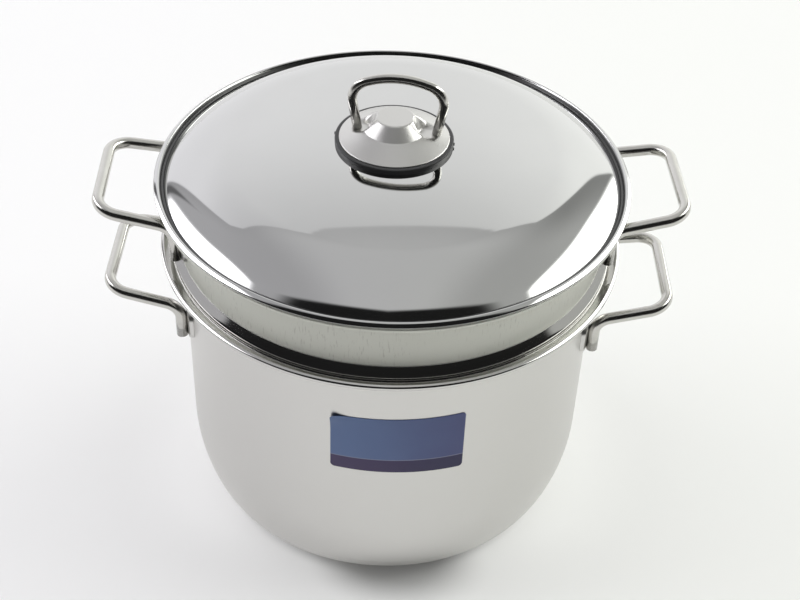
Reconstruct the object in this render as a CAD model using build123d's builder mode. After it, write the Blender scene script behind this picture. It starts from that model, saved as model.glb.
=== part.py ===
from build123d import *
import math
import os

# A pasta pot: a steel stock pot, a lift-out strainer basket that stands in its flared lip,
# and a domed lid that closes either of them.
# All lengths are in millimetres. The origin is the centre of the base on the stove, +Z is up,
# the handles stand along X and the front of the pot looks along -Y.

# Pot and its base
pot_radius = 113.8
pot_wall = 0.8
pot_height = 173.9
corner_start = 36.5
corner_width = 12.8
corner_upper_radius = 98.0
corner_lower_radius = 22.8
base_margin = 29.8
base_height = 4.5
base_cap_wall = 0.6
base_edge_radius = 2.0

# The flared mouth, which the pot and the basket share
lip_flare = 11.5
mouth_bend_radius = 5.0
mouth_slope = 9.0
roll_radius = 1.0

# Strainer basket
basket_wall = 0.8
basket_stand = 37.4
basket_turn = 2.35
basket_floor_gap = 22.0
collar_step = 1.2
shoulder_height = 4.9
shoulder_overlap = 5.7
shoulder_bend_radius = 1.5
shoulder_edge_radius = 0.8
strainer_clearance = 3.5
strainer_neck_radius = 3.0
strainer_corner_radius = 38.0
hole_radius = 3.8
hole_sides = 6
hole_rows = 3
holes_per_row = 20
hole_row_pitch = 24.0
hole_top_margin = 28.0
floor_hole_pitch = 24.0
floor_hole_rings = 2

# Lid
hem_overhang = 1.0
lid_wall = 0.8
lid_rise = 19.1
lid_flat_radius = 10.0
dome_turn_share = 0.855
dome_crown_slope = 7.5
dome_edge_slope = 37.6
dome_bend_radius = 66.0
hem_radius = 1.4
groove_width = 1.4
groove_wall_lean = 1.5
groove_depth = 1.9
groove_bend_radius = 0.8
lid_hole_radius = 2.75

# Straps and wire handles at the sides
wire_radius = 3.15
handle_foot_spread = 71.8
handle_grip_spread = 64.4
handle_reach = 39.6
handle_rise = 7.8
handle_leg_length = 19.7
handle_foot_bend_radius = 9.0
handle_corner_radius = 11.0
strap_thickness = 2.0
strap_height = 18.0
strap_overhang = 4.0
strap_corner_radius = 5.0
strap_drop = 1.0
weld_flat = 0.3
pot_handle_drop = 30.0
basket_handle_drop = 10.5

# Knob
ring_radius = 31.2
ring_stand = 2.4
ring_hole_radius = 10.5
ring_rim_width = 2.1
ring_rim_height = 0.6
ring_edge_radius = 0.8
ring_web_radius = 26.0
ring_turn = -6.0
nub_radius = 0.5
nub_height = 2.0
cap_wall = 0.6
cap_rise = 12.6
cap_top_radius = 9.8
cap_step_radius = 14.4
cap_step_rise = 4.6
cap_bend_radius = 1.0
cap_edge_rise = 1.5
cap_edge_radius = 1.2
pocket_radius = 4.8
pocket_reach = 25.5
pocket_length = 14.7
pocket_floor_rise = 1.1
pocket_rim_radius = 0.8
pocket_foot_radius = 0.6
bracket_thickness = 1.6
bracket_width = 10.0
bracket_length = 47.0
loop_wire_radius = 2.5
loop_foot_spread = 40.3
loop_shoulder_spread = 51.2
loop_shoulder_rise = 27.6
loop_crown_rise = 37.5
loop_shoulder_radius = 8.0
loop_crown_radius = 45.0
loop_hole_gap = 0.3
screw_radius = 2.5
screw_head_radius = 4.75
screw_head_height = 3.3
screw_end = 1.0
screw_slot_width = 1.2
screw_slot_depth = 1.5
washer_radius = 6.0
washer_thickness = 1.0
nut_width = 8.0
nut_height = 4.0
thread_gap = 0.1

# Clearances, and how far a cut runs past what it cuts
seat_gap = 0.3
cut_overrun = 5.0


def sheet_side(line_points, bends, shift):
    """Corner points and bend radii of the line that runs beside a centre line, shift to its left."""
    points = [Vector(*point) for point in line_points]
    runs = [(end - start).normalized() for start, end in zip(points, points[1:])]
    lefts = [Vector(-run.Y, run.X) for run in runs]
    corners = [
        corner + (left + next_left) * (shift / (1 + left.dot(next_left)))
        for corner, left, next_left in zip(points[1:], lefts, lefts[1:])
    ]
    radii = [
        bend - math.copysign(1, run.cross(next_run).Z) * shift
        for bend, run, next_run in zip(bends, runs, runs[1:])
    ]
    return [points[0] + lefts[0] * shift, *corners, points[-1] + lefts[-1] * shift], radii


def sheet_section(line_points, bends, thickness):
    """Half section of a pressed sheet, drawn as its bent centre line made thick both ways."""
    left_points, left_bends = sheet_side(line_points, bends, thickness / 2)
    right_points, right_bends = sheet_side(line_points, bends, -thickness / 2)
    with BuildLine() as outline:
        left_side = FilletPolyline(*left_points, radius=left_bends)
        right_side = FilletPolyline(*right_points, radius=right_bends)
        Line(left_side @ 0, right_side @ 0)
        Line(left_side @ 1, right_side @ 1)
    make_face(outline.edges())


def finish(piece, name):
    """Names a finished piece and writes it out under that name."""
    piece.part.label = name
    export_step(piece.part, f"parts/{name}.step")


os.makedirs("parts", exist_ok=True)
mouth_fall = math.tan(math.radians(mouth_slope))
mouth_radius = pot_radius + lip_flare
base_radius = pot_radius - base_margin

# Pot body: a drawn steel shell, with a flared pouring lip whose edge is rolled
pot_line = pot_radius - pot_wall / 2
pot_floor_line = base_height + pot_wall / 2
lip_line = mouth_radius - roll_radius
pot_lip_height = pot_height - roll_radius
with BuildPart() as pot_body:
    with BuildSketch(Plane.XZ):
        sheet_section(
            [
                (0, pot_floor_line),
                (pot_radius - corner_width, pot_floor_line),
                (pot_line, corner_start),
                (pot_line, pot_lip_height - (lip_line - pot_line) * mouth_fall),
                (lip_line, pot_lip_height),
            ],
            [corner_lower_radius, corner_upper_radius, mouth_bend_radius],
            pot_wall,
        )
        with Locations((lip_line, pot_lip_height)):
            Circle(roll_radius)
    revolve(axis=Axis.Z)
finish(pot_body, "pot_body")

# Base core: the aluminium disc that spreads the heat under the pot
with BuildPart(Plane.XY.offset(base_cap_wall)) as base_core:
    Cylinder(
        base_radius - base_cap_wall,
        base_height - base_cap_wall,
        align=(Align.CENTER, Align.CENTER, Align.MIN),
    )
    fillet(base_core.edges().sort_by(Axis.Z)[0], base_edge_radius - base_cap_wall)
finish(base_core, "base_core")

# Base cap: the pressed steel capsule that closes the core in and rests on the stove
with BuildPart() as base_cap:
    Cylinder(base_radius, base_height, align=(Align.CENTER, Align.CENTER, Align.MIN))
    fillet(base_cap.edges().sort_by(Axis.Z)[0], base_edge_radius)
    add(base_core.part, mode=Mode.SUBTRACT)
finish(base_cap, "base_cap")

# Strainer basket: one drawn shell. Its folded shoulder stands in the pot's lip, its smooth
# collar carries the same flared mouth as the pot, and its wall and floor are perforated
basket_height = pot_height + basket_stand
basket_lip_height = basket_height - roll_radius
basket_floor_line = pot_floor_line + basket_floor_gap
collar_radius = pot_radius + collar_step
collar_line = collar_radius - basket_wall / 2
strainer_line = pot_radius - pot_wall - strainer_clearance - basket_wall / 2
shoulder_line = mouth_radius - shoulder_overlap
seat_line = pot_lip_height + ((pot_wall + basket_wall) / 2 + seat_gap) / math.cos(
    math.radians(mouth_slope)
)
shoulder_seat = seat_line - (lip_line - shoulder_line) * mouth_fall
strainer_neck = seat_line - (lip_line - strainer_line) * mouth_fall
with BuildPart() as basket_shell:
    with BuildSketch(Plane.XZ):
        sheet_section(
            [
                (0, basket_floor_line),
                (strainer_line, basket_floor_line),
                (strainer_line, strainer_neck),
                (shoulder_line, shoulder_seat),
                (collar_line, shoulder_seat + shoulder_height),
                (collar_line, basket_lip_height - (lip_line - collar_line) * mouth_fall),
                (lip_line, basket_lip_height),
            ],
            [
                strainer_corner_radius,
                strainer_neck_radius,
                shoulder_edge_radius,
                shoulder_bend_radius,
                mouth_bend_radius,
            ],
            basket_wall,
        )
        with Locations((lip_line, basket_lip_height)):
            Circle(roll_radius)
    revolve(axis=Axis.Z)
    wall_planes = []
    for row in range(hole_rows):
        row_height = strainer_neck - hole_top_margin - row * hole_row_pitch
        for hole in range(holes_per_row):
            outward = Vector(1, 0, 0).rotate(Axis.Z, (hole + row % 2 / 2) * 360 / holes_per_row)
            hole_middle = outward * strainer_line + Vector(0, 0, row_height)
            wall_planes.append(Plane(hole_middle, x_dir=(0, 0, 1), z_dir=outward))
    with BuildSketch(*wall_planes):
        RegularPolygon(hole_radius, hole_sides)
    extrude(amount=cut_overrun, both=True, mode=Mode.SUBTRACT)
    with BuildSketch(Plane.XY.offset(basket_floor_line)):
        RegularPolygon(hole_radius, hole_sides)
        for ring in range(1, floor_hole_rings + 1):
            with PolarLocations(ring * floor_hole_pitch, 6 * ring):
                RegularPolygon(hole_radius, hole_sides)
    extrude(amount=cut_overrun, both=True, mode=Mode.SUBTRACT)
finish(basket_shell, "basket_shell")


def side_strap(wall_radius, bend_height, turn):
    """A curved strap on a round wall, with rounded corners, spot-welded on under a handle."""
    strap_width = handle_foot_spread + 2 * (wire_radius + strap_overhang)
    strap_bottom = bend_height - strap_drop - strap_height
    outward = Vector(1, 0, 0).rotate(Axis.Z, turn)
    strap_middle = (0, 0, strap_bottom + strap_height / 2)
    with BuildPart() as strap:
        with BuildSketch(Plane.XY.offset(strap_bottom)):
            Circle(wall_radius + strap_thickness)
            Circle(wall_radius, mode=Mode.SUBTRACT)
        extrude(amount=strap_height)
        with BuildSketch(Plane(strap_middle, x_dir=outward.rotate(Axis.Z, 90), z_dir=outward)):
            RectangleRounded(strap_width, strap_height, strap_corner_radius)
        extrude(amount=wall_radius + strap_thickness + cut_overrun, mode=Mode.INTERSECT)
    return strap


def side_handle(wall_radius, bend_height, turn):
    """A bent wire handle: two legs flattened where they are welded to the strap, and the grip."""
    strap_face = wall_radius + strap_thickness
    foot = handle_foot_spread / 2
    grip = handle_grip_spread / 2
    leg_line = math.sqrt((strap_face + wire_radius - weld_flat) ** 2 - foot**2)
    grip_line = leg_line + handle_reach
    half_route = [
        (leg_line, -foot, bend_height - handle_leg_length),
        (leg_line, -foot, bend_height),
        (grip_line, -grip, bend_height + handle_rise),
    ]
    route = half_route + [(x, -y, z) for x, y, z in reversed(half_route)]
    bends = [handle_foot_bend_radius, handle_corner_radius]
    with BuildPart() as handle:
        with BuildLine(Plane.XY.rotated((0, 0, turn))):
            wire = FilletPolyline(*route, radius=bends + bends[::-1])
        with BuildSketch(Plane(wire @ 0, z_dir=wire % 0)):
            Circle(wire_radius)
        sweep()
        Cylinder(strap_face, 2 * (bend_height + handle_rise), mode=Mode.SUBTRACT)
    return handle


# Straps and handles of the pot, in line with X, and of the basket, set down a little turned
side_turns = {"left": 180, "right": 0}
for side, turn in side_turns.items():
    pot_seat = (pot_radius, pot_height - pot_handle_drop, turn)
    finish(side_strap(*pot_seat), f"pot_strap_{side}")
    finish(side_handle(*pot_seat), f"pot_handle_{side}")
    basket_seat = (collar_radius, basket_height - basket_handle_drop, turn + basket_turn)
    finish(side_strap(*basket_seat), f"basket_strap_{side}")
    finish(side_handle(*basket_seat), f"basket_handle_{side}")

# Lid: a pressed dome with a flat seat for the knob, a groove, and a rolled hem that rests on
# the basket's lip
hem_line = mouth_radius + hem_overhang - hem_radius
hem_height = basket_height + seat_gap + hem_radius
lid_line_height = hem_height + lid_rise
groove_wall_line = hem_line - hem_radius + lid_wall / 2
groove_outer_line = groove_wall_line - groove_wall_lean
groove_inner_line = groove_outer_line - groove_width
groove_floor = hem_height - groove_depth
dome_turn_line = groove_inner_line * dome_turn_share
dome_turn_height = groove_floor + (groove_inner_line - dome_turn_line) * math.tan(
    math.radians(dome_edge_slope)
)
crown_turn_line = dome_turn_line - (lid_line_height - dome_turn_height) / math.tan(
    math.radians(dome_crown_slope)
)
crown_radius = (crown_turn_line - lid_flat_radius) / math.tan(math.radians(dome_crown_slope) / 2)
with BuildPart() as lid_shell:
    with BuildSketch(Plane.XZ):
        sheet_section(
            [
                (0, lid_line_height),
                (crown_turn_line, lid_line_height),
                (dome_turn_line, dome_turn_height),
                (groove_inner_line, groove_floor),
                (groove_outer_line, groove_floor),
                (groove_wall_line, hem_height),
            ],
            [crown_radius, dome_bend_radius, groove_bend_radius, groove_bend_radius],
            lid_wall,
        )
        with Locations((hem_line, hem_height)):
            Circle(hem_radius)
    revolve(axis=Axis.Z)
    with Locations((0, 0, lid_line_height)):
        Cylinder(lid_hole_radius, cut_overrun, mode=Mode.SUBTRACT)
finish(lid_shell, "lid_shell")

# Levels of the knob, from the lid's flat seat upward
lid_top = lid_line_height + lid_wall / 2
ring_top = lid_top + ring_stand
cap_ledge = ring_top - ring_rim_height
cap_radius = ring_radius - ring_rim_width
pocket_floor = cap_ledge + pocket_floor_rise
bracket_top = pocket_floor - cap_wall
bracket_bottom = bracket_top - bracket_thickness

# Knob ring: black heat-insulating moulding that lies on the dome, holds the bracket in its
# middle and the cap's edge on its ledge, with a small moulding nub at either side
with BuildPart() as knob_ring:
    with BuildSketch(Plane.XZ):
        with BuildLine():
            Polyline(
                (ring_hole_radius, hem_height),
                (ring_hole_radius, bracket_bottom),
                (ring_web_radius, bracket_bottom),
                (ring_web_radius, cap_ledge),
                (cap_radius, cap_ledge),
                (cap_radius, ring_top),
                (ring_radius, ring_top),
                (ring_radius, hem_height),
                close=True,
            )
        make_face()
        with Locations((lid_flat_radius, lid_line_height - crown_radius)):
            Circle(crown_radius + lid_wall / 2, mode=Mode.SUBTRACT)
    revolve(axis=Axis.Z)
    fillet(knob_ring.edges().group_by(Axis.Z)[-1].sort_by(SortBy.RADIUS)[-1], ring_edge_radius)
    with BuildSketch(Plane.XY.offset(ring_top - nub_height)):
        with PolarLocations(ring_radius, 2, start_angle=ring_turn):
            Circle(nub_radius)
        Circle(cap_radius, mode=Mode.SUBTRACT)
    extrude(amount=nub_height - ring_rim_height)
finish(knob_ring, "knob_ring")


def cap_form(shift, floor_drop):
    """Solid under one side of the cap's sheet, with two pockets, pressed round on its outside."""
    points, bends = sheet_side(
        [
            (0, cap_ledge + cap_rise),
            (cap_top_radius, cap_ledge + cap_rise),
            (cap_step_radius, cap_ledge + cap_step_rise),
            (cap_radius - cap_wall / 2, cap_ledge + cap_edge_rise),
            (cap_radius - cap_wall / 2, cap_ledge - cut_overrun),
        ],
        [cap_bend_radius, cap_bend_radius, cap_edge_radius],
        shift,
    )
    with BuildPart() as form:
        with BuildSketch(Plane.XZ):
            with BuildLine() as outline:
                side = FilletPolyline(*points, radius=bends)
                Polyline(side @ 1, (0, (side @ 1).Y), side @ 0)
            make_face(outline.edges())
            with Locations((0, cap_ledge)):
                Rectangle(cap_radius, cap_rise + cut_overrun, align=Align.MIN, mode=Mode.INTERSECT)
        revolve(axis=Axis.Z)
        with BuildSketch(Plane.XY.offset(pocket_floor - floor_drop)):
            with PolarLocations(pocket_reach - pocket_length / 2, 2):
                SlotOverall(pocket_length + 2 * floor_drop, 2 * (pocket_radius + floor_drop))
        extrude(amount=cap_rise + cut_overrun, mode=Mode.SUBTRACT)
        pocket_edges = form.edges(Select.NEW).filter_by(Axis.Z, reverse=True)
        if shift > 0:
            fillet(pocket_edges - pocket_edges.group_by(Axis.Z)[0], pocket_rim_radius)
            floor_edges = form.edges().filter_by_position(Axis.Z, pocket_floor, pocket_floor)
            fillet(floor_edges, pocket_foot_radius)
    return form


# Knob cap: pressed steel cone with a flat top, a shallow brim and a pocket at either foot
loop_lean = (loop_shoulder_spread - loop_foot_spread) / 2 / loop_shoulder_rise
with BuildPart() as knob_cap:
    add(cap_form(cap_wall / 2, 0).part)
    add(cap_form(-cap_wall / 2, cap_wall).part, mode=Mode.SUBTRACT)
    with Locations((0, 0, bracket_top)):
        with PolarLocations(loop_foot_spread / 2 + loop_lean * cap_wall / 2, 2):
            Cylinder(loop_wire_radius + loop_hole_gap, cut_overrun, mode=Mode.SUBTRACT)
finish(knob_cap, "knob_cap")

# Knob bracket: steel strip under the cap, which carries the loop's feet and the nut
with BuildPart() as knob_bracket:
    with BuildSketch(Plane.XY.offset(bracket_bottom)):
        SlotOverall(bracket_length, bracket_width)
        Circle(lid_hole_radius, mode=Mode.SUBTRACT)
    extrude(amount=bracket_thickness)
finish(knob_bracket, "knob_bracket")

# Knob nut: six-sided nut welded on the strip
with BuildPart() as knob_nut:
    with BuildSketch(Plane.XY.offset(bracket_top)):
        RegularPolygon(nut_width / 2, 6, major_radius=False)
        Circle(screw_radius + thread_gap, mode=Mode.SUBTRACT)
    extrude(amount=nut_height)
finish(knob_nut, "knob_nut")

# Knob loop: bent wire grip, its feet cut flat and welded on the strip
with BuildPart() as knob_loop:
    foot_line = loop_foot_spread / 2 - loop_lean * cut_overrun
    crown_line = loop_shoulder_spread / 2
    with BuildLine(Plane.XZ):
        loop_line = FilletPolyline(
            (-foot_line, bracket_top - cut_overrun),
            (-crown_line, bracket_top + loop_shoulder_rise),
            (0, bracket_top + loop_crown_rise),
            (crown_line, bracket_top + loop_shoulder_rise),
            (foot_line, bracket_top - cut_overrun),
            radius=[loop_shoulder_radius, loop_crown_radius, loop_shoulder_radius],
        )
    with BuildSketch(Plane(loop_line @ 0, z_dir=loop_line % 0)):
        Circle(loop_wire_radius)
    sweep()
    split(bisect_by=Plane.XY.offset(bracket_top), keep=Keep.TOP)
finish(knob_loop, "knob_loop")

# Knob washer and screw: they pull the whole knob down on the lid from inside
washer_top = lid_line_height - lid_wall / 2
washer_bottom = washer_top - washer_thickness
with BuildPart() as knob_washer:
    with BuildSketch(Plane.XY.offset(washer_bottom)):
        Circle(washer_radius)
        Circle(lid_hole_radius, mode=Mode.SUBTRACT)
    extrude(amount=washer_thickness)
finish(knob_washer, "knob_washer")

with BuildPart() as knob_screw:
    with BuildSketch(Plane.XY.offset(washer_bottom)):
        Circle(screw_head_radius)
    extrude(amount=-screw_head_height)
    with BuildSketch(Plane.XY.offset(washer_bottom - screw_head_height)):
        Rectangle(2 * screw_head_radius, screw_slot_width)
    extrude(amount=screw_slot_depth, mode=Mode.SUBTRACT)
    with BuildSketch(Plane.XY.offset(washer_bottom)):
        Circle(screw_radius)
    extrude(amount=bracket_top + nut_height + screw_end - washer_bottom)
finish(knob_screw, "knob_screw")
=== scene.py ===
import bmesh
import bpy
import math
from mathutils import Matrix, Quaternion, Vector


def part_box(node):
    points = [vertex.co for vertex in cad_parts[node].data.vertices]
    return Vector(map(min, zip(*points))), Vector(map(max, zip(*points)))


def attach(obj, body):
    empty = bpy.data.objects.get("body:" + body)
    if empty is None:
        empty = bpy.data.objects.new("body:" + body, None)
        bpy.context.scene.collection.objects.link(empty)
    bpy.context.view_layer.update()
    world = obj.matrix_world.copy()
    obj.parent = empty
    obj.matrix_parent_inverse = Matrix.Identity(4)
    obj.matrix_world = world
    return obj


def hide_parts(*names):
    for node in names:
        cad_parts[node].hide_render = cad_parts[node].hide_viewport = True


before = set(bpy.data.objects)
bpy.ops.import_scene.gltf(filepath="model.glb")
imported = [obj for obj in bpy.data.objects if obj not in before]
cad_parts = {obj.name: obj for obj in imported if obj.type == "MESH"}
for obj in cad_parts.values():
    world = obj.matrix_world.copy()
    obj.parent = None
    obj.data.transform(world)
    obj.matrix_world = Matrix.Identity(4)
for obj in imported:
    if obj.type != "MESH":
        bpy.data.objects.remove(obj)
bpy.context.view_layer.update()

# Pot body
# One deep-drawn steel shell, satin outside and in. The mouth is flared into a pouring lip and
# its edge is rolled under; the lower corner is blown out round down to the flat base.
UP = Vector((0, 0, 1))
pot_wall = 0.0008
pot_line = 0.1134
pot_floor = 0.0049
lip_line = 0.1243
lip_roll = 0.0010
lip_fall, lip_drop, lip_tilt = 0.0009, 0.0012, 0.0001
lip_bends, lip_steps = [0.005, 0.0004, 0.0005, 0.0005], [8, 3, 4, 4]
pot_mouth_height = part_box("pot_body")[1].z
mouth_slope = math.radians(9)
mouth_fall = math.tan(mouth_slope)
weld_reach = 1e-6


def bent_line(corners, radii, steps):
    """A line of edges in the XZ plane: straight runs, with every bend spun round its centre."""
    long_run, end_share = 0.002, 0.03
    sheet = bmesh.new()
    points = [Vector((x, 0, z)) for x, z in corners]
    tip = sheet.verts.new(points[0])
    for index, corner in enumerate(points[1:], 1):
        run = (corner - points[index - 1]).normalized()
        bend_angle = tangent = 0
        if index < len(points) - 1:
            next_run = (points[index + 1] - corner).normalized()
            bend_angle = run.angle(next_run)
            tangent = radii[index - 1] * math.tan(bend_angle / 2)
        length = (corner - tip.co).length - tangent
        shares = (end_share, 1 - 2 * end_share, end_share) if length > long_run else (1,)
        for share in shares:
            tip = extend_line(sheet, tip, run * length * share)
        if bend_angle:
            axis = run.cross(next_run).normalized()
            centre = tip.co + axis.cross(run) * radii[index - 1]
            turned = bmesh.ops.spin(sheet, geom=[tip], cent=centre, axis=axis, angle=bend_angle,
                                    steps=steps[index - 1], use_duplicate=False)
            tip = [part for part in turned["geom_last"] if isinstance(part, bmesh.types.BMVert)][0]
    return sheet


def extend_line(sheet, tip, step):
    """Draws one straight edge on from the tip of a line and returns the new tip."""
    drawn = bmesh.ops.extrude_vert_indiv(sheet, verts=[tip])
    bmesh.ops.translate(sheet, verts=drawn["verts"], vec=step)
    return drawn["verts"][0]


def spin_round(sheet, steps):
    """Spins a line of edges a full turn about the pot's axis into a closed-up smooth shell."""
    bmesh.ops.spin(sheet, geom=sheet.verts[:] + sheet.edges[:], cent=(0, 0, 0), axis=UP,
                   angle=math.tau, steps=steps, use_merge=True, use_duplicate=False)
    bmesh.ops.remove_doubles(sheet, verts=sheet.verts[:], dist=weld_reach)
    bmesh.ops.recalc_face_normals(sheet, faces=sheet.faces[:])


def make_piece(mesh_maker, name, body, material, nodes=()):
    """Turns a finished bmesh into a named smooth piece that rides on its body."""
    mesh = bpy.data.meshes.new(name)
    mesh_maker.to_mesh(mesh)
    mesh_maker.free()
    mesh.shade_smooth()
    piece = bpy.data.objects.new(name, mesh)
    bpy.context.scene.collection.objects.link(piece)
    mesh.materials.append(material)
    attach(piece, body)
    if nodes:
        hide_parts(*nodes)
    return piece


def thicken(piece, wall, levels=1):
    """Gives a spun shell its sheet thickness, half to either side, and one smoothing level."""
    solid = piece.modifiers.new("wall", "SOLIDIFY")
    solid.thickness = wall
    solid.offset = 0
    smooth = piece.modifiers.new("smooth", "SUBSURF")
    smooth.levels = smooth.render_levels = levels
    return piece


def rolled_lip(wall_line, edge_line, edge_height, roll):
    """Corner points of a flared mouth whose edge is rolled out, down and under."""
    bend = (wall_line, edge_height - (edge_line - wall_line) * mouth_fall)
    outer = edge_line + roll - pot_wall / 2
    top = edge_height + roll - pot_wall / 2
    low = edge_height - roll + pot_wall / 2 - lip_drop
    inner = edge_line - roll + pot_wall / 2
    return [bend, (inner, top - lip_tilt), (outer, top - lip_fall), (outer, low), (inner, low)]


class Channel:
    """A number that varies over a surface. Sums and products of it add Math nodes."""

    def __init__(self, finish, socket):
        self.finish = finish
        self.socket = socket

    def combine(self, operation, first, second):
        return self.finish.add("Math", {"operation": operation}, {0: first, 1: second})

    def __add__(self, other):
        return self.combine("ADD", self, other)

    def __sub__(self, other):
        return self.combine("SUBTRACT", self, other)

    def __rsub__(self, other):
        return self.combine("SUBTRACT", other, self)

    def __mul__(self, other):
        return self.combine("MULTIPLY", self, other)

    def __pow__(self, other):
        return self.combine("POWER", self, other)

    __radd__ = __add__
    __rmul__ = __mul__


class Finish:
    """A surface finish: one material with its shader, and one method that adds any other node."""

    def __init__(self, name, **constants):
        self.material = bpy.data.materials.new(name)
        self.open_tree(self.material, "Principled BSDF")
        for socket, value in constants.items():
            self.shader.inputs[socket.replace("_", " ")].default_value = value

    def open_tree(self, owner, shader):
        owner.use_nodes = True
        self.tree = owner.node_tree
        self.shader = self.tree.nodes[shader]

    def add(self, kind, settings=None, inputs=None, output=0):
        node = self.tree.nodes.new("ShaderNode" + kind)
        for name, value in (settings or {}).items():
            if name == "stops":
                self.set_stops(node.color_ramp, value)
            else:
                setattr(node, name, value)
        for socket, value in (inputs or {}).items():
            self.join(node.inputs[socket], value)
        return Channel(self, node.outputs[output])

    def set_stops(self, ramp, stops):
        for index, (position, colour) in enumerate(stops):
            stop = ramp.elements[index] if index < 2 else ramp.elements.new(position)
            stop.position = position
            stop.color = (*colour, 1)

    def join(self, socket, value):
        if isinstance(value, Channel):
            self.tree.links.new(value.socket, socket)
        else:
            socket.default_value = value

    def feed(self, socket, value):
        self.join(self.shader.inputs[socket], value)

    def place(self, scale=(1, 1, 1)):
        """Object coordinates, stretched to set how fine a pattern is along each axis."""
        spot = self.add("TexCoord", output=3)
        return self.add("Mapping", inputs={"Vector": spot, "Scale": scale})

    def noise(self, scale, detail=3, stretch=(1, 1, 1), rough=0.5):
        return self.add("TexNoise", {"noise_dimensions": "3D"},
                        {"Vector": self.place(stretch), "Scale": scale, "Detail": detail,
                         "Roughness": rough})

    def blend(self, factor, first, second):
        mixed = self.add("Mix", {"data_type": "RGBA"}, {0: factor}, output=2)
        node = mixed.socket.node
        self.join(node.inputs[6], first)
        self.join(node.inputs[7], second)
        return mixed

    def step(self, value, low, high, below=0, above=1):
        """A soft step: below under low, above over high, and a smooth turn between them."""
        return self.add("MapRange", {"interpolation_type": "SMOOTHSTEP"},
                        {0: value, 1: low, 2: high, 3: below, 4: above})

    def band(self, value, low, high, edge):
        """One between low and high and nought beyond, with an edge of the given width."""
        return self.step(value, low - edge, low) * self.step(value, high, high + edge, 1, 0)

    def axis(self, index):
        return self.add("SeparateXYZ", inputs={0: self.add("TexCoord", output=3)}, output=index)

    def radius(self):
        """Distance from the pot's axis."""
        return (self.axis(0) ** 2 + self.axis(1) ** 2) ** 0.5

    def mingle(self, factor, first, second):
        """Goes from the first number to the second as the factor goes from nought to one."""
        return self.step(factor, 0, 1, first, second)

    def bump(self, height, strength, distance):
        self.feed("Normal", self.add("Bump", inputs={"Height": height, "Strength": strength,
                                                     "Distance": distance}))


def satin_steel(name="satin_steel", polish_from=1.0, polish_to=2.0, scratch=0.0, dull=0.0):
    """Satin steel with a fine rubbed grain and faint clouds, polished in a band of heights."""
    scratch_tone, polish_tone = (0.30, 0.28, 0.25, 1), (0.60, 0.595, 0.58, 1)
    satin_shine, mirror_shine, band_edge, matt_edge = 0.30, 0.07, 0.0006, 0.001
    finish = Finish(name)
    clouds = finish.noise(14, 4)
    grain = finish.noise(60, 2, stretch=(1, 1, 26), rough=0.7)
    strokes = finish.noise(1300, 2, stretch=(1, 1, 0.13), rough=0.6)
    patches = finish.step(finish.noise(32, 2), 0.36, 0.60)
    scratches = finish.step(strokes, 0.58, 0.70) * patches * scratch
    polished = finish.band(finish.axis(2), polish_from, polish_to, band_edge)
    tone = finish.blend(clouds, (0.66 - dull * 0.7, 0.65 - dull * 0.5, 0.63 - dull, 1),
                        (0.69 - dull * 0.7, 0.685 - dull * 0.5, 0.665 - dull, 1))
    tone = finish.blend(scratches, tone, scratch_tone)
    finish.feed("Base Color", finish.blend(polished, tone, polish_tone))
    above_band = finish.step(finish.axis(2), polish_to, polish_to + matt_edge)
    finish.feed("Metallic", 1 - above_band * dull * 6)
    satin_roughness = satin_shine + dull * 1.5 + clouds * 0.06 + grain * 0.05
    finish.feed("Roughness", finish.mingle(polished, satin_roughness, mirror_shine))
    finish.bump(grain * finish.mingle(polished, 1, 0.1), 0.05, 0.0002)
    return finish.material


pot_lip = pot_mouth_height - lip_roll
satin = satin_steel()
lip_polish = 0.0015
pot_steel = satin_steel("pot_steel", pot_lip - lip_polish)
floor_edge, corner_top = 0.1010, 0.0365
corner_bends, corner_steps = [0.0228, 0.098], [10, 24]
pot_turns = 128
pot_shell = bent_line(
    [(0, pot_floor), (floor_edge, pot_floor), (pot_line, corner_top)]
    + rolled_lip(pot_line, lip_line, pot_lip, lip_roll),
    corner_bends + lip_bends,
    corner_steps + lip_steps,
)
spin_round(pot_shell, pot_turns)
thicken(make_piece(pot_shell, "pot_shell", "pot", pot_steel, ["pot_body"]),
        pot_wall)

# Sticker on the pot's front
# Two blues printed on thin glossy film, blank, with rounded corners. It sits a little askew
# and one upper corner has come loose and curls off the wall.
def printed_film():
    """Glossy printed film: a blue field that darkens to the right over an indigo band."""
    blue, dark_blue = (0.118, 0.178, 0.345, 1), (0.070, 0.082, 0.200, 1)
    indigo, dark_indigo = (0.060, 0.042, 0.110, 1), (0.022, 0.020, 0.070, 1)
    rule_tone = (0.30, 0.30, 0.38, 1)
    finish = Finish("printed_film", Roughness=0.34, IOR=1.4)
    spot = finish.add("UVMap")
    right, up = [finish.add("SeparateXYZ", inputs={0: spot}, output=axis) for axis in range(2)]
    fade = finish.step(right + finish.noise(40, 2) * 0.3, 0.2, 1.3)
    field = finish.blend(fade, blue, dark_blue)
    band = finish.blend(fade, indigo, dark_indigo)
    rule = finish.band(up, 0.232, 0.240, 0.008)
    print_tone = finish.blend(finish.step(up, 0.228, 0.234), band, field)
    finish.feed("Base Color", finish.blend(rule * 0.5, print_tone, rule_tone))
    finish.bump(finish.noise(90, 2), 0.03, 0.0005)
    return finish.material


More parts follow.
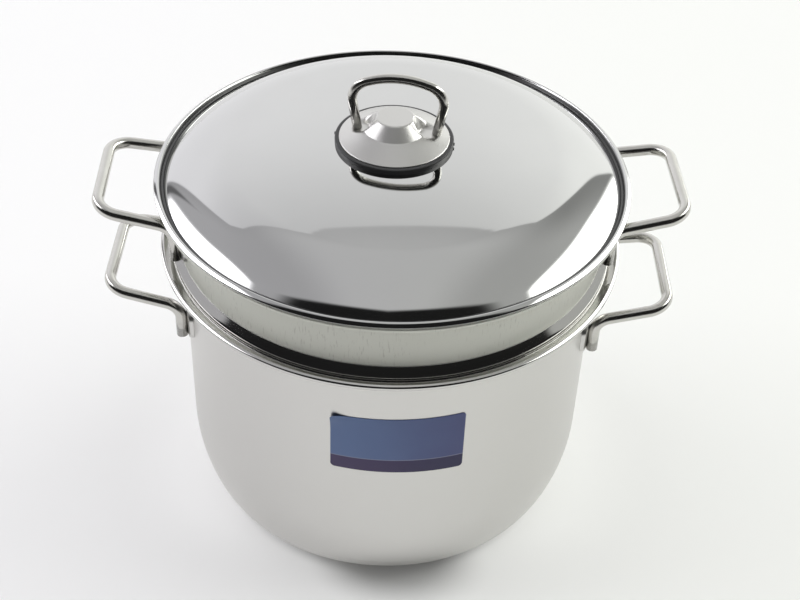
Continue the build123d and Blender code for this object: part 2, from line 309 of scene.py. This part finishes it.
sticker_wide, sticker_tall = 28, 15
sticker_left, sticker_right = math.radians(-14.0), math.radians(21.4)
sticker_top, sticker_bottom = 0.1404, 0.1024
film_gap, film_wall = 0.0001, 0.00012
sticker_line = pot_line + pot_wall / 2 + film_gap
sticker_round, sticker_sag = 0.0024, 0.0016
curl_reach, curl_lift = 0.011, 0.0022
sticker = bmesh.new()
bmesh.ops.create_grid(sticker, x_segments=sticker_wide, y_segments=sticker_tall, size=0.5,
                      calc_uvs=True)
sticker_size = Vector(((sticker_right - sticker_left) * sticker_line,
                       sticker_top - sticker_bottom, 1))
bmesh.ops.scale(sticker, verts=sticker.verts[:], vec=sticker_size)
corners = [point for point in sticker.verts if len(point.link_faces) == 1]
bmesh.ops.bevel(sticker, geom=corners, offset=sticker_round, segments=6, profile=0.5,
                affect="VERTICES")
sticker_map = sticker.loops.layers.uv.verify()
for face in sticker.faces:
    for corner in face.loops:
        corner[sticker_map].uv = (corner.vert.co.x / sticker_size.x + 0.5,
                                  corner.vert.co.y / sticker_size.y + 0.5)
for point in sticker.verts:
    right, up = point.co.x / sticker_size.x + 0.5, point.co.y / sticker_size.y + 0.5
    angle = sticker_left + right * (sticker_right - sticker_left)
    height = sticker_bottom + up * sticker_size.y - sticker_sag * right * (1 - up)
    loose = max(1 - math.hypot(right * sticker_size.x, sticker_top - height) / curl_reach, 0) ** 2
    line = sticker_line + curl_lift * loose
    point.co = (line * math.sin(angle), -line * math.cos(angle), height)
bmesh.ops.recalc_face_normals(sticker, faces=sticker.faces[:])
thicken(make_piece(sticker, "sticker", "pot", printed_film()), film_wall)

# Base under the pot
# An aluminium disc that spreads the heat, closed in by a pressed steel capsule that is
# bonded to the pot's bottom. Only the capsule can be seen, from below.
def plain_metal(name, colour, roughness):
    """Plain mill-finished metal: the faint streaks and cloudy shine of rolled stock."""
    streak_shade = 0.88
    finish = Finish(name, Metallic=1.0)
    streaks = finish.noise(90, 3, stretch=(1, 12, 12))
    dark = tuple(streak_shade * part for part in colour)
    finish.feed("Base Color", finish.blend(streaks, (*dark, 1), (*colour, 1)))
    finish.feed("Roughness", roughness - 0.06 + streaks * 0.14)
    finish.bump(streaks, 0.06, 0.0002)
    return finish.material


def dress(node, material):
    """Gives a piece that keeps its own packed form a finish in place of its plain colour."""
    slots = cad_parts[node].data.materials
    slots.clear()
    slots.append(material)


dress("base_core", plain_metal("aluminium", (0.80, 0.80, 0.79), 0.38))
dress("base_cap", satin)

# Straps and wire handles
# Each strap is a curved steel plate spot-welded to the wall. Each handle is one length of
# round wire, bent cold, pressed flat against the strap and welded, then tumbled bright.
def polished_wire():
    """Tumbled bright wire: nearly a mirror, with fine draw marks and slight ripples."""
    finish = Finish("polished_wire", Metallic=1.0)
    ripple = finish.noise(120, 2)
    marks = finish.noise(500, 3)
    finish.feed("Base Color", finish.blend(ripple, (0.57, 0.56, 0.53, 1), (0.64, 0.63, 0.60, 1)))
    finish.feed("Roughness", 0.13 + marks * 0.14)
    finish.bump(ripple + marks * 0.3, 0.10, 0.0003)
    return finish.material


bright_wire = polished_wire()


def bent_wire(points, radii, wire_radius, sides=24, steps=14):
    """A round wire along straight runs, with every bend spun round its centre."""
    wire = bmesh.new()
    points = [Vector(point) for point in points]
    run = (points[1] - points[0]).normalized()
    start = Matrix.Translation(points[0]) @ run.to_track_quat("Z", "Y").to_matrix().to_4x4()
    bmesh.ops.create_circle(wire, cap_ends=True, segments=sides, radius=wire_radius, matrix=start)
    rim = wire.edges[:]
    place = points[0]
    for index, corner in enumerate(points[1:], 1):
        run = (corner - points[index - 1]).normalized()
        bend_angle = tangent = 0
        if index < len(points) - 1:
            next_run = (points[index + 1] - corner).normalized()
            bend_angle = run.angle(next_run)
            tangent = radii[index - 1] * math.tan(bend_angle / 2)
        step = run * ((corner - place).length - tangent)
        drawn = bmesh.ops.extrude_edge_only(wire, edges=rim)["geom"]
        bmesh.ops.translate(wire, verts=parts_of(drawn, bmesh.types.BMVert), vec=step)
        rim = parts_of(drawn, bmesh.types.BMEdge)
        place = place + step
        if bend_angle:
            axis = run.cross(next_run).normalized()
            centre = place + axis.cross(run) * radii[index - 1]
            turned = bmesh.ops.spin(wire, geom=rim, cent=centre, axis=axis, angle=bend_angle,
                                    steps=steps, use_duplicate=False)
            rim = parts_of(turned["geom_last"], bmesh.types.BMEdge)
            place = corner + next_run * tangent
    bmesh.ops.holes_fill(wire, edges=rim)
    bmesh.ops.recalc_face_normals(wire, faces=wire.faces[:])
    return wire


def parts_of(geometry, kind):
    return [part for part in geometry if isinstance(part, kind)]


handle_wire = 0.00315
foot_spread, grip_spread = 0.0359, 0.0322
handle_reach, handle_rise = 0.0396, 0.0078
leg_length, foot_bend, grip_bend = 0.0197, 0.009, 0.0125
basket_turn = math.radians(2.35)
for side, facing in (("left", -1), ("right", 1)):
    for carrier, turn in (("pot", 0), ("basket", basket_turn)):
        dress(f"{carrier}_strap_{side}", satin)
        node = f"{carrier}_handle_{side}"
        low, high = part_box(node)
        bend_height = low.z + leg_length
        tip = max(abs(low.x), abs(high.x)) - handle_wire - grip_spread * math.sin(turn)
        leg_line = tip - handle_reach
        route = [(leg_line, -foot_spread, low.z), (leg_line, -foot_spread, bend_height),
                 (tip, -grip_spread, bend_height + handle_rise),
                 (tip, grip_spread, bend_height + handle_rise),
                 (leg_line, foot_spread, bend_height), (leg_line, foot_spread, low.z)]
        wire = bent_wire(route, [foot_bend, grip_bend, grip_bend, foot_bend], handle_wire)
        angle = turn if facing > 0 else turn + math.pi
        bmesh.ops.rotate(wire, verts=wire.verts[:], cent=(0, 0, 0),
                         matrix=Matrix.Rotation(angle, 3, "Z"))
        make_piece(wire, f"{carrier}_grip_{side}", carrier, bright_wire, [node])

# Strainer basket
# One drawn shell: a smooth collar with a rolled mouth like the pot's, a folded shoulder that
# stands in the pot's lip, and below it a wall and floor pierced with holes.
basket_wall = 0.0008
basket_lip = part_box("basket_shell")[1].z - lip_roll
collar_line = 0.1146
strainer_line = 0.1091
shoulder_line = 0.1196
floor_gap, seat_gap, shoulder_fold = 0.022, 0.0003, 0.0049
strainer_floor = pot_floor + floor_gap
seat = pot_lip + ((pot_wall + basket_wall) / 2 + seat_gap) / math.cos(mouth_slope)
shoulder_seat = seat - (lip_line - shoulder_line) * mouth_fall
strainer_neck = seat - (lip_line - strainer_line) * mouth_fall
strainer_bends, strainer_steps = [0.038, 0.003, 0.0008, 0.0015], [14, 6, 5, 5]
basket_turns = 160
basket = bent_line(
    [(0, strainer_floor), (strainer_line, strainer_floor), (strainer_line, strainer_neck),
     (shoulder_line, shoulder_seat), (collar_line, shoulder_seat + shoulder_fold)]
    + rolled_lip(collar_line, lip_line, basket_lip, lip_roll),
    strainer_bends + lip_bends,
    strainer_steps + lip_steps,
)
hole_reach = 0.0042
pierced_share = 0.97
row_holes, row_count, row_start, row_pitch = 20, 3, 0.028, 0.024
wall_rows = [strainer_neck - row_start - row_pitch * row for row in range(row_count)]
floor_rings = [0.024, 0.048]
first_ring_holes = 6
cuts = [((0, 0, row + side * hole_reach), UP) for row in wall_rows for side in (-1, 0, 1)]
cuts += [((ring + side * hole_reach, 0, 0), Vector((1, 0, 0)))
         for ring in [0] + floor_rings for side in (-1, 0, 1) if ring + side * hole_reach > 0]
for spot, across in cuts:
    low_side = [edge for edge in basket.edges if edge.verts[0].co.z < strainer_neck
                or edge.verts[1].co.z < strainer_neck]
    bmesh.ops.bisect_plane(basket, geom=low_side, dist=weld_reach, plane_co=spot,
                           plane_no=across)
spin_round(basket, basket_turns)
hole_middles = [Vector((0, 0, strainer_floor))]
for row, height in enumerate(wall_rows):
    for hole in range(row_holes):
        turn = math.tau * (hole + row % 2 / 2) / row_holes
        hole_middles.append(Vector((strainer_line * math.cos(turn), strainer_line * math.sin(turn),
                                    height)))
for index, ring in enumerate(floor_rings, 1):
    for hole in range(first_ring_holes * index):
        turn = math.tau * hole / (first_ring_holes * index)
        hole_middles.append(Vector((ring * math.cos(turn), ring * math.sin(turn),
                                    strainer_floor)))
for middle in hole_middles:
    pierced = [point for point in basket.verts
               if (point.co - middle).length < hole_reach * pierced_share]
    edge_points = {point for gone in pierced for face in gone.link_faces for point in face.verts}
    for point in edge_points - set(pierced):
        point.co = middle + (point.co - middle).normalized() * hole_reach
    bmesh.ops.delete(basket, geom=pierced, context="VERTS")
shoulder_polish, fold_polish = 0.002, 0.0044
basket_steel = satin_steel("basket_steel", pot_mouth_height - shoulder_polish,
                           shoulder_seat + fold_polish, scratch=0.4, dull=0.07)
thicken(make_piece(basket, "basket_wall", "basket", basket_steel,
                   ["basket_shell"]), basket_wall)

# Lid
# Pressed from one disc and polished to a mirror outside: a shallow dome, a groove that drops
# inside the mouth below, and a hem rolled right round under its own edge.
def mirror_steel():
    """Mirror-polished steel: clear reflections, with very slight waves and wiping marks, and a
    duller groove darkened with painted shade.
    """
    groove_painted_shade, groove_edge = (0.10, 0.10, 0.10, 1), 0.0004
    finish = Finish("mirror_steel", Metallic=1.0)
    waves = finish.noise(9, 2)
    wiping = finish.noise(26, 4, rough=0.6)
    groove = finish.band(finish.radius(), groove_inner - groove_edge / 2,
                         groove_outer + groove_edge, groove_edge)
    tone = finish.blend(wiping, (0.585, 0.585, 0.58, 1), (0.62, 0.62, 0.615, 1))
    # Painted shade: the groove's base colour is darkened to near black for the shade down in it;
    # its higher roughness is a real duller finish.
    finish.feed("Base Color", finish.blend(groove, tone, groove_painted_shade))
    finish.feed("Roughness", 0.03 + wiping * 0.03 + groove * 0.25)
    finish.bump(waves, 0.03, 0.002)
    return finish.material


lid_wall = 0.0008
hem_radius = 0.0014
lid_low, lid_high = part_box("lid_shell")
hem_line = lid_high.x - hem_radius
hem_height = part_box("basket_shell")[1].z + seat_gap + hem_radius
hem_curl = hem_radius - lid_wall / 2
hem_fall, hem_end = -hem_curl * 0.55, hem_curl * 0.6
lid_crown = lid_high.z - lid_wall / 2
groove_depth, groove_ledge, groove_width = 0.0019, 0.0015, 0.0014
groove_floor = hem_height - groove_depth
groove_outer = hem_line - hem_curl - groove_ledge
groove_inner = groove_outer - groove_width
flank_slope, crown_slope = math.radians(37.6), math.radians(7.5)
dome_turn = groove_inner * 0.855
dome_turn_height = groove_floor + (groove_inner - dome_turn) * math.tan(flank_slope)
crown_turn = dome_turn - (lid_crown - dome_turn_height) / math.tan(crown_slope)
crown_flat = 0.010
crown_radius = (crown_turn - crown_flat) / math.tan(crown_slope / 2)
dome_bend, groove_bend, hem_bends = 0.066, 0.0008, [0.0005, 0.0006, 0.0007]
lid_turns = 160
lid_shell = bent_line(
    [(0, lid_crown), (crown_turn, lid_crown), (dome_turn, dome_turn_height),
     (groove_inner, groove_floor), (groove_outer, groove_floor),
     (hem_line - hem_curl, hem_height + hem_curl), (hem_line + hem_curl, hem_height + hem_fall),
     (hem_line + hem_curl, hem_height - hem_curl),
     (hem_line - hem_end, hem_height - hem_curl)],
    [crown_radius, dome_bend, groove_bend, groove_bend] + hem_bends,
    [20, 28, 6, 6, 6, 8, 8],
)
spin_round(lid_shell, lid_turns)
thicken(make_piece(lid_shell, "lid_dome", "lid", mirror_steel(), ["lid_shell"]),
        lid_wall)

# Knob
# A black insulating ring lies on the dome under a pressed steel cap. The wire loop goes down
# into two pockets of the cap to a steel strip, which a screw from inside pulls down.
def black_moulding():
    """Black moulded phenolic: satin, with a fine grain and duller scuffs at random."""
    finish = Finish("black_moulding", IOR=1.5)
    grain = finish.noise(900, 2)
    scuffs = finish.noise(60, 4)
    finish.feed("Base Color", finish.blend(scuffs, (0.012, 0.012, 0.013, 1),
                                           (0.03, 0.03, 0.032, 1)))
    finish.feed("Roughness", 0.30 + scuffs * 0.18)
    finish.bump(grain, 0.10, 0.0001)
    return finish.material


def turned_steel():
    """Steel brushed while it spins: fine rings about the lid's axis."""
    finish = Finish("turned_steel", Metallic=1.0)
    spot = finish.add("CombineXYZ", inputs={0: finish.radius(), 2: finish.axis(2) * 0.5})
    rings = finish.add("TexNoise", inputs={"Vector": spot, "Scale": 2600, "Detail": 2})
    clouds = finish.noise(80, 3)
    finish.feed("Base Color", finish.blend(clouds, (0.61, 0.60, 0.58, 1), (0.66, 0.655, 0.64, 1)))
    finish.feed("Roughness", 0.24 + clouds * 0.06 + rings * 0.10)
    finish.bump(rings, 0.12, 0.0001)
    return finish.material


knob_turn = math.radians(-5.5)
cap_wall = 0.0006
cap_low, cap_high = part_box("knob_cap")
cap_seat = cap_low.z
cap_top = cap_high.z - cap_wall / 2
cap_line = cap_high.x - cap_wall / 2
brim_height, brim_end = cap_seat + 0.0008, cap_seat + 0.0001
flat_line = 0.0098
step_line, step_height = 0.0168, cap_seat + 0.0068
cap = bent_line(
    [(0, cap_top), (flat_line, cap_top), (step_line, step_height), (cap_line, brim_height),
     (cap_line, brim_end)],
    [0.0012, 0.0030, 0.0004],
    [6, 6, 4],
)
coarse_run, fine_run = 0.002, 0.0006
long_runs = [edge for edge in cap.edges if edge.calc_length() > coarse_run]
for edge in long_runs:
    bmesh.ops.subdivide_edges(cap, edges=[edge], cuts=round(edge.calc_length() / fine_run))
cap_turns = 132
spin_round(cap, cap_turns)
pocket_near, pocket_far = 0.0164, 0.0250
pocket_floor = cap_seat + 0.0040
pocket_rim, pocket_foot = 0.0076, 0.0034
for point in cap.verts:
    along = min(max(abs(point.co.x), pocket_near), pocket_far)
    reach = math.hypot(abs(point.co.x) - along, point.co.y)
    share = min(max((pocket_rim - reach) / (pocket_rim - pocket_foot), 0), 1)
    share = share * share * (3 - 2 * share)
    if point.co.z > pocket_floor:
        point.co.z -= share * (point.co.z - pocket_floor)
bmesh.ops.rotate(cap, verts=cap.verts[:], cent=(0, 0, 0),
                 matrix=Matrix.Rotation(knob_turn, 3, "Z"))
dress("knob_ring", black_moulding())
thicken(make_piece(cap, "cap", "lid", turned_steel(), ["knob_cap"]), cap_wall)

loop_wire = 0.0025
loop_low, loop_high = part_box("knob_loop")
loop_shift = Vector((0.0012, 0.0010, 0))
loop_crown = loop_high.z - loop_wire
crown_fall = math.radians(19)
crown_bend = 0.045
crown_corner = loop_crown + crown_bend * (1 / math.cos(crown_fall) - 1)
loop_foot = 0.02015
loop_shoulder, loop_bend = 0.0254, 0.0115
shoulder_corner = crown_corner - loop_shoulder * math.tan(crown_fall)
loop = bent_wire(
    [(-loop_foot, 0, loop_low.z), (-loop_shoulder, 0, shoulder_corner), (0, 0, crown_corner),
     (loop_shoulder, 0, shoulder_corner), (loop_foot, 0, loop_low.z)],
    [loop_bend, crown_bend, loop_bend],
    loop_wire,
)
bmesh.ops.rotate(loop, verts=loop.verts[:], cent=(0, 0, 0),
                 matrix=Matrix.Rotation(knob_turn, 3, "Z"))
bmesh.ops.translate(loop, verts=loop.verts[:], vec=loop_shift)
make_piece(loop, "loop", "lid", bright_wire, ["knob_loop"])
zinc = plain_metal("zinc_plated", (0.66, 0.66, 0.65), 0.34)
for node in ("knob_bracket", "knob_nut", "knob_washer", "knob_screw"):
    dress(node, zinc)

# Studio
# The camera stands at the photograph's angle. The pot stands on a pale paper floor inside a
# tent of white sheets, which two soft lamps light from the sides. The tent is open and dark
# behind the camera, and that opening shows in the bright metal.
camera_reach = 0.61484
camera_height = 0.64109
camera_pitch = math.radians(40.088)
camera_yaw = math.radians(0.6055)
camera_roll = math.radians(2.408)
lens = bpy.data.cameras.new("lens")
lens.lens = 63.10
camera = bpy.data.objects.new("camera", lens)
camera.location = (0, -camera_reach, camera_height)
sight = Vector((math.sin(camera_yaw) * math.cos(camera_pitch),
                math.cos(camera_yaw) * math.cos(camera_pitch), -math.sin(camera_pitch)))
camera.rotation_mode = "QUATERNION"
camera.rotation_quaternion = sight.to_track_quat("-Z", "Y") @ Quaternion((0, 0, 1), camera_roll)
bpy.context.scene.collection.objects.link(camera)
bpy.context.scene.camera = camera

floor_size = 4
floor_mesh = bmesh.new()
bmesh.ops.create_grid(floor_mesh, x_segments=1, y_segments=1, size=floor_size)
floor_data = bpy.data.meshes.new("floor")
floor_mesh.to_mesh(floor_data)
floor_mesh.free()
floor = bpy.data.objects.new("floor", floor_data)
bpy.context.scene.collection.objects.link(floor)
paper_white, unlit_room_painted_shade = (0.60, 0.60, 0.595, 1), (0.04, 0.04, 0.04, 1)
lilac_glow, green_glow = (0.450, 0.440, 0.460, 1), (0.430, 0.440, 0.405, 1)
open_glow, painted_glow_gain = 0.6, 0.24
# Painted contact shadow: the floor's glow is taken out in a soft ellipse just in front of the pot
# and under its foot, which paints a shadow there.
painted_shadow_x, painted_shadow_y, painted_shadow_wide, painted_shadow_deep = 0.012, -0.093, 0.055, 0.035
paper = Finish("paper", Roughness=0.9)
table_end = paper.step(paper.axis(1), -0.95, -0.45)
painted_shadow_right = (paper.axis(0) - painted_shadow_x) * (1 / painted_shadow_wide)
painted_shadow_near = (paper.axis(1) - painted_shadow_y) * (1 / painted_shadow_deep)
painted_shadow_reach = (painted_shadow_right * painted_shadow_right + painted_shadow_near * painted_shadow_near) ** 0.5
clear_of_painted_shadow = paper.step(painted_shadow_reach, 0.30, 1.0) * paper.step(paper.radius(), 0.088, 0.102)
# Painted light: more glow on the floor close beside the pot, standing in for light thrown back by
# its shiny sides.
painted_glow_beside = (paper.step(paper.radius(), 0.10, 0.17, painted_glow_gain, 0)
          * paper.step(paper.axis(1), -0.11, -0.05))
side = paper.step(paper.axis(0), -0.3, 0.3)
glossy_ray, transmission_ray = 3, 6
seen = paper.add("LightPath")
for output in (glossy_ray, transmission_ray):
    seen = paper.add("Math", {"operation": "MAXIMUM"},
                     {0: seen, 1: paper.add("LightPath", output=output)})
# Painted shade: beyond the paper's end, toward and behind the camera, the floor is coloured near
# black for the unlit room.
paper.feed("Base Color", paper.blend(table_end, unlit_room_painted_shade, paper_white))
glow = seen * table_end * clear_of_painted_shadow * (painted_glow_beside + open_glow)
# The glow is painted light, tinted lilac on the left and green on the right like the tent's light.
paper.feed("Emission Color", paper.blend(glow, (0, 0, 0, 1),
                                         paper.blend(side, lilac_glow, green_glow)))
paper.shader.inputs["Emission Strength"].default_value = 1
floor_data.materials.append(paper.material)

fill_light = bpy.data.lights.new("fill", "SUN")
fill_light.energy = 1.6
fill_light.angle = math.radians(150)
fill_aim = Vector((0, 0.6, -0.8))
fill = bpy.data.objects.new("fill", fill_light)
fill.rotation_mode = "QUATERNION"
fill.rotation_quaternion = fill_aim.to_track_quat("-Z", "Y")
fill.visible_glossy = False
bpy.context.scene.collection.objects.link(fill)


class Tent(Finish):
    """The light tent: a world whose brightness depends on the direction that is looked in."""

    def __init__(self, world):
        self.open_tree(world, "Background")
        self.look = self.add("TexCoord")
        self.across, self.back, self.up = [
            self.add("SeparateXYZ", inputs={0: self.look}, output=axis) for axis in range(3)]

    def larger(self, first, second):
        return self.add("Math", {"operation": "MAXIMUM"}, {0: first, 1: second})

    def size(self, value):
        return self.add("Math", {"operation": "ABSOLUTE"}, {0: value})

    def sight(self, turn, rise):
        """The direction that is turned to the right from the back and raised, in degrees."""
        turn, rise = math.radians(turn), math.radians(rise)
        return Vector((math.sin(turn) * math.cos(rise), math.cos(turn) * math.cos(rise),
                       math.sin(rise)))

    def within(self, first, second, middle):
        """How far the direction looked in lies from an edge, on the side of the middle."""
        edge = first.cross(second).normalized()
        if edge.dot(middle) < 0:
            edge.negate()
        return self.add("VectorMath", {"operation": "DOT_PRODUCT"}, {0: self.look, 1: edge},
                        output=1)

    def panel(self, corners, softness):
        """One inside a sheet of the tent with these corners, nought outside, soft edges."""
        sights = [self.sight(*corner) for corner in corners]
        middle = sum(sights, Vector())
        inside = 1
        for first, second in zip(sights, sights[1:]):
            inside = self.step(self.within(first, second, middle), -softness, softness) * inside
        return inside

    def between(self, mask, outside, inside):
        return outside + mask * (inside - outside)


world = bpy.data.worlds.new("tent")
bpy.context.scene.world = world
tent = Tent(world)
side_low, side_high, ceiling_glow, ceiling_end = 0.34, 0.58, 0.68, 0.53
wall_low, wall_high, wall_right, hem_gain = 1.10, 0.72, 0.18, 0.5
left_dark, right_dark, lamp_glow, room_glow = 0.17, 0.30, 5.4, 0.016
sheet_edge, fold_edge, seam_edge, lamp_edge = 0.010, 0.004, 0.012, 0.03
side_glow = tent.step(tent.size(tent.across) - tent.back * 0.73, 0, 0.35, side_low, side_high)
ceiling = tent.step(tent.size(tent.across), 0.15, 0.45, ceiling_glow, ceiling_end)
light = side_glow + tent.step(tent.up, 0.60, 0.84) * (ceiling - side_glow)
folds = [tent.sight(*fold) for fold in ((-46.6, 49.9), (-10.8, 49.4), (15.8, 47.3), (29.8, 46.2))]
under_folds = -1
for first, second in zip(folds, folds[1:]):
    under_folds = tent.larger(tent.within(first, second, Vector((0, 1, 0))), under_folds)
back_wall = tent.panel([(-38, -30), (-43, 4), (-51, 24), (-56, 39), (-46.6, 49.9), (29.8, 46.2),
                        (32.4, 42.4), (35, 31), (36, 8), (31, -30)], sheet_edge)
back_wall = back_wall * tent.step(under_folds, -fold_edge, fold_edge)
wall_glow = (tent.step(tent.up, 0.45, 0.90, wall_low, wall_high)
             + tent.step(tent.across, 0, 0.5, 0, wall_right))
light = tent.between(back_wall, light, wall_glow) + back_wall * (1 - back_wall) * hem_gain
left_seam = tent.panel([(-36, -30), (-44, 6), (-57, 39), (-60, 39), (-47, 6), (-39, -30)],
                       seam_edge)
light = tent.between(left_seam, light, left_dark)
right_seam = tent.panel([(31, -30), (36, 8), (35, 31), (38, 31), (38.5, 8), (34, -30)],
                        seam_edge)
light = tent.between(right_seam, light, right_dark)
left_lamp = tent.panel([(-45, 0), (-50, 12), (-62, 28), (-82, 43), (-108, 46), (-104, 36),
                        (-70, 20), (-45, 0)], lamp_edge)
light = tent.between(left_lamp, light, lamp_glow)
right_lamp = tent.panel([(33, -8), (42, 14), (52, 30), (70, 41), (92, 46), (108, 44), (98, 36),
                         (60, 13), (33, -8)], lamp_edge)
light = tent.between(right_lamp, light, lamp_glow)
reach = tent.larger(tent.back, tent.back + tent.up * 0.44 - tent.size(tent.across) * 0.18)
light = tent.between(tent.step(reach, -0.02, 0.03, 1, 0), light, room_glow)
lilac_light, green_light = (0.99, 0.985, 1.02, 1), (0.985, 1.0, 0.965, 1)
tint = tent.step(tent.across, -0.8, 0.8)
tent.feed("Color", tent.blend(tint, lilac_light, green_light))
tent.feed("Strength", light)
bpy.context.scene.view_settings.view_transform = "Standard"
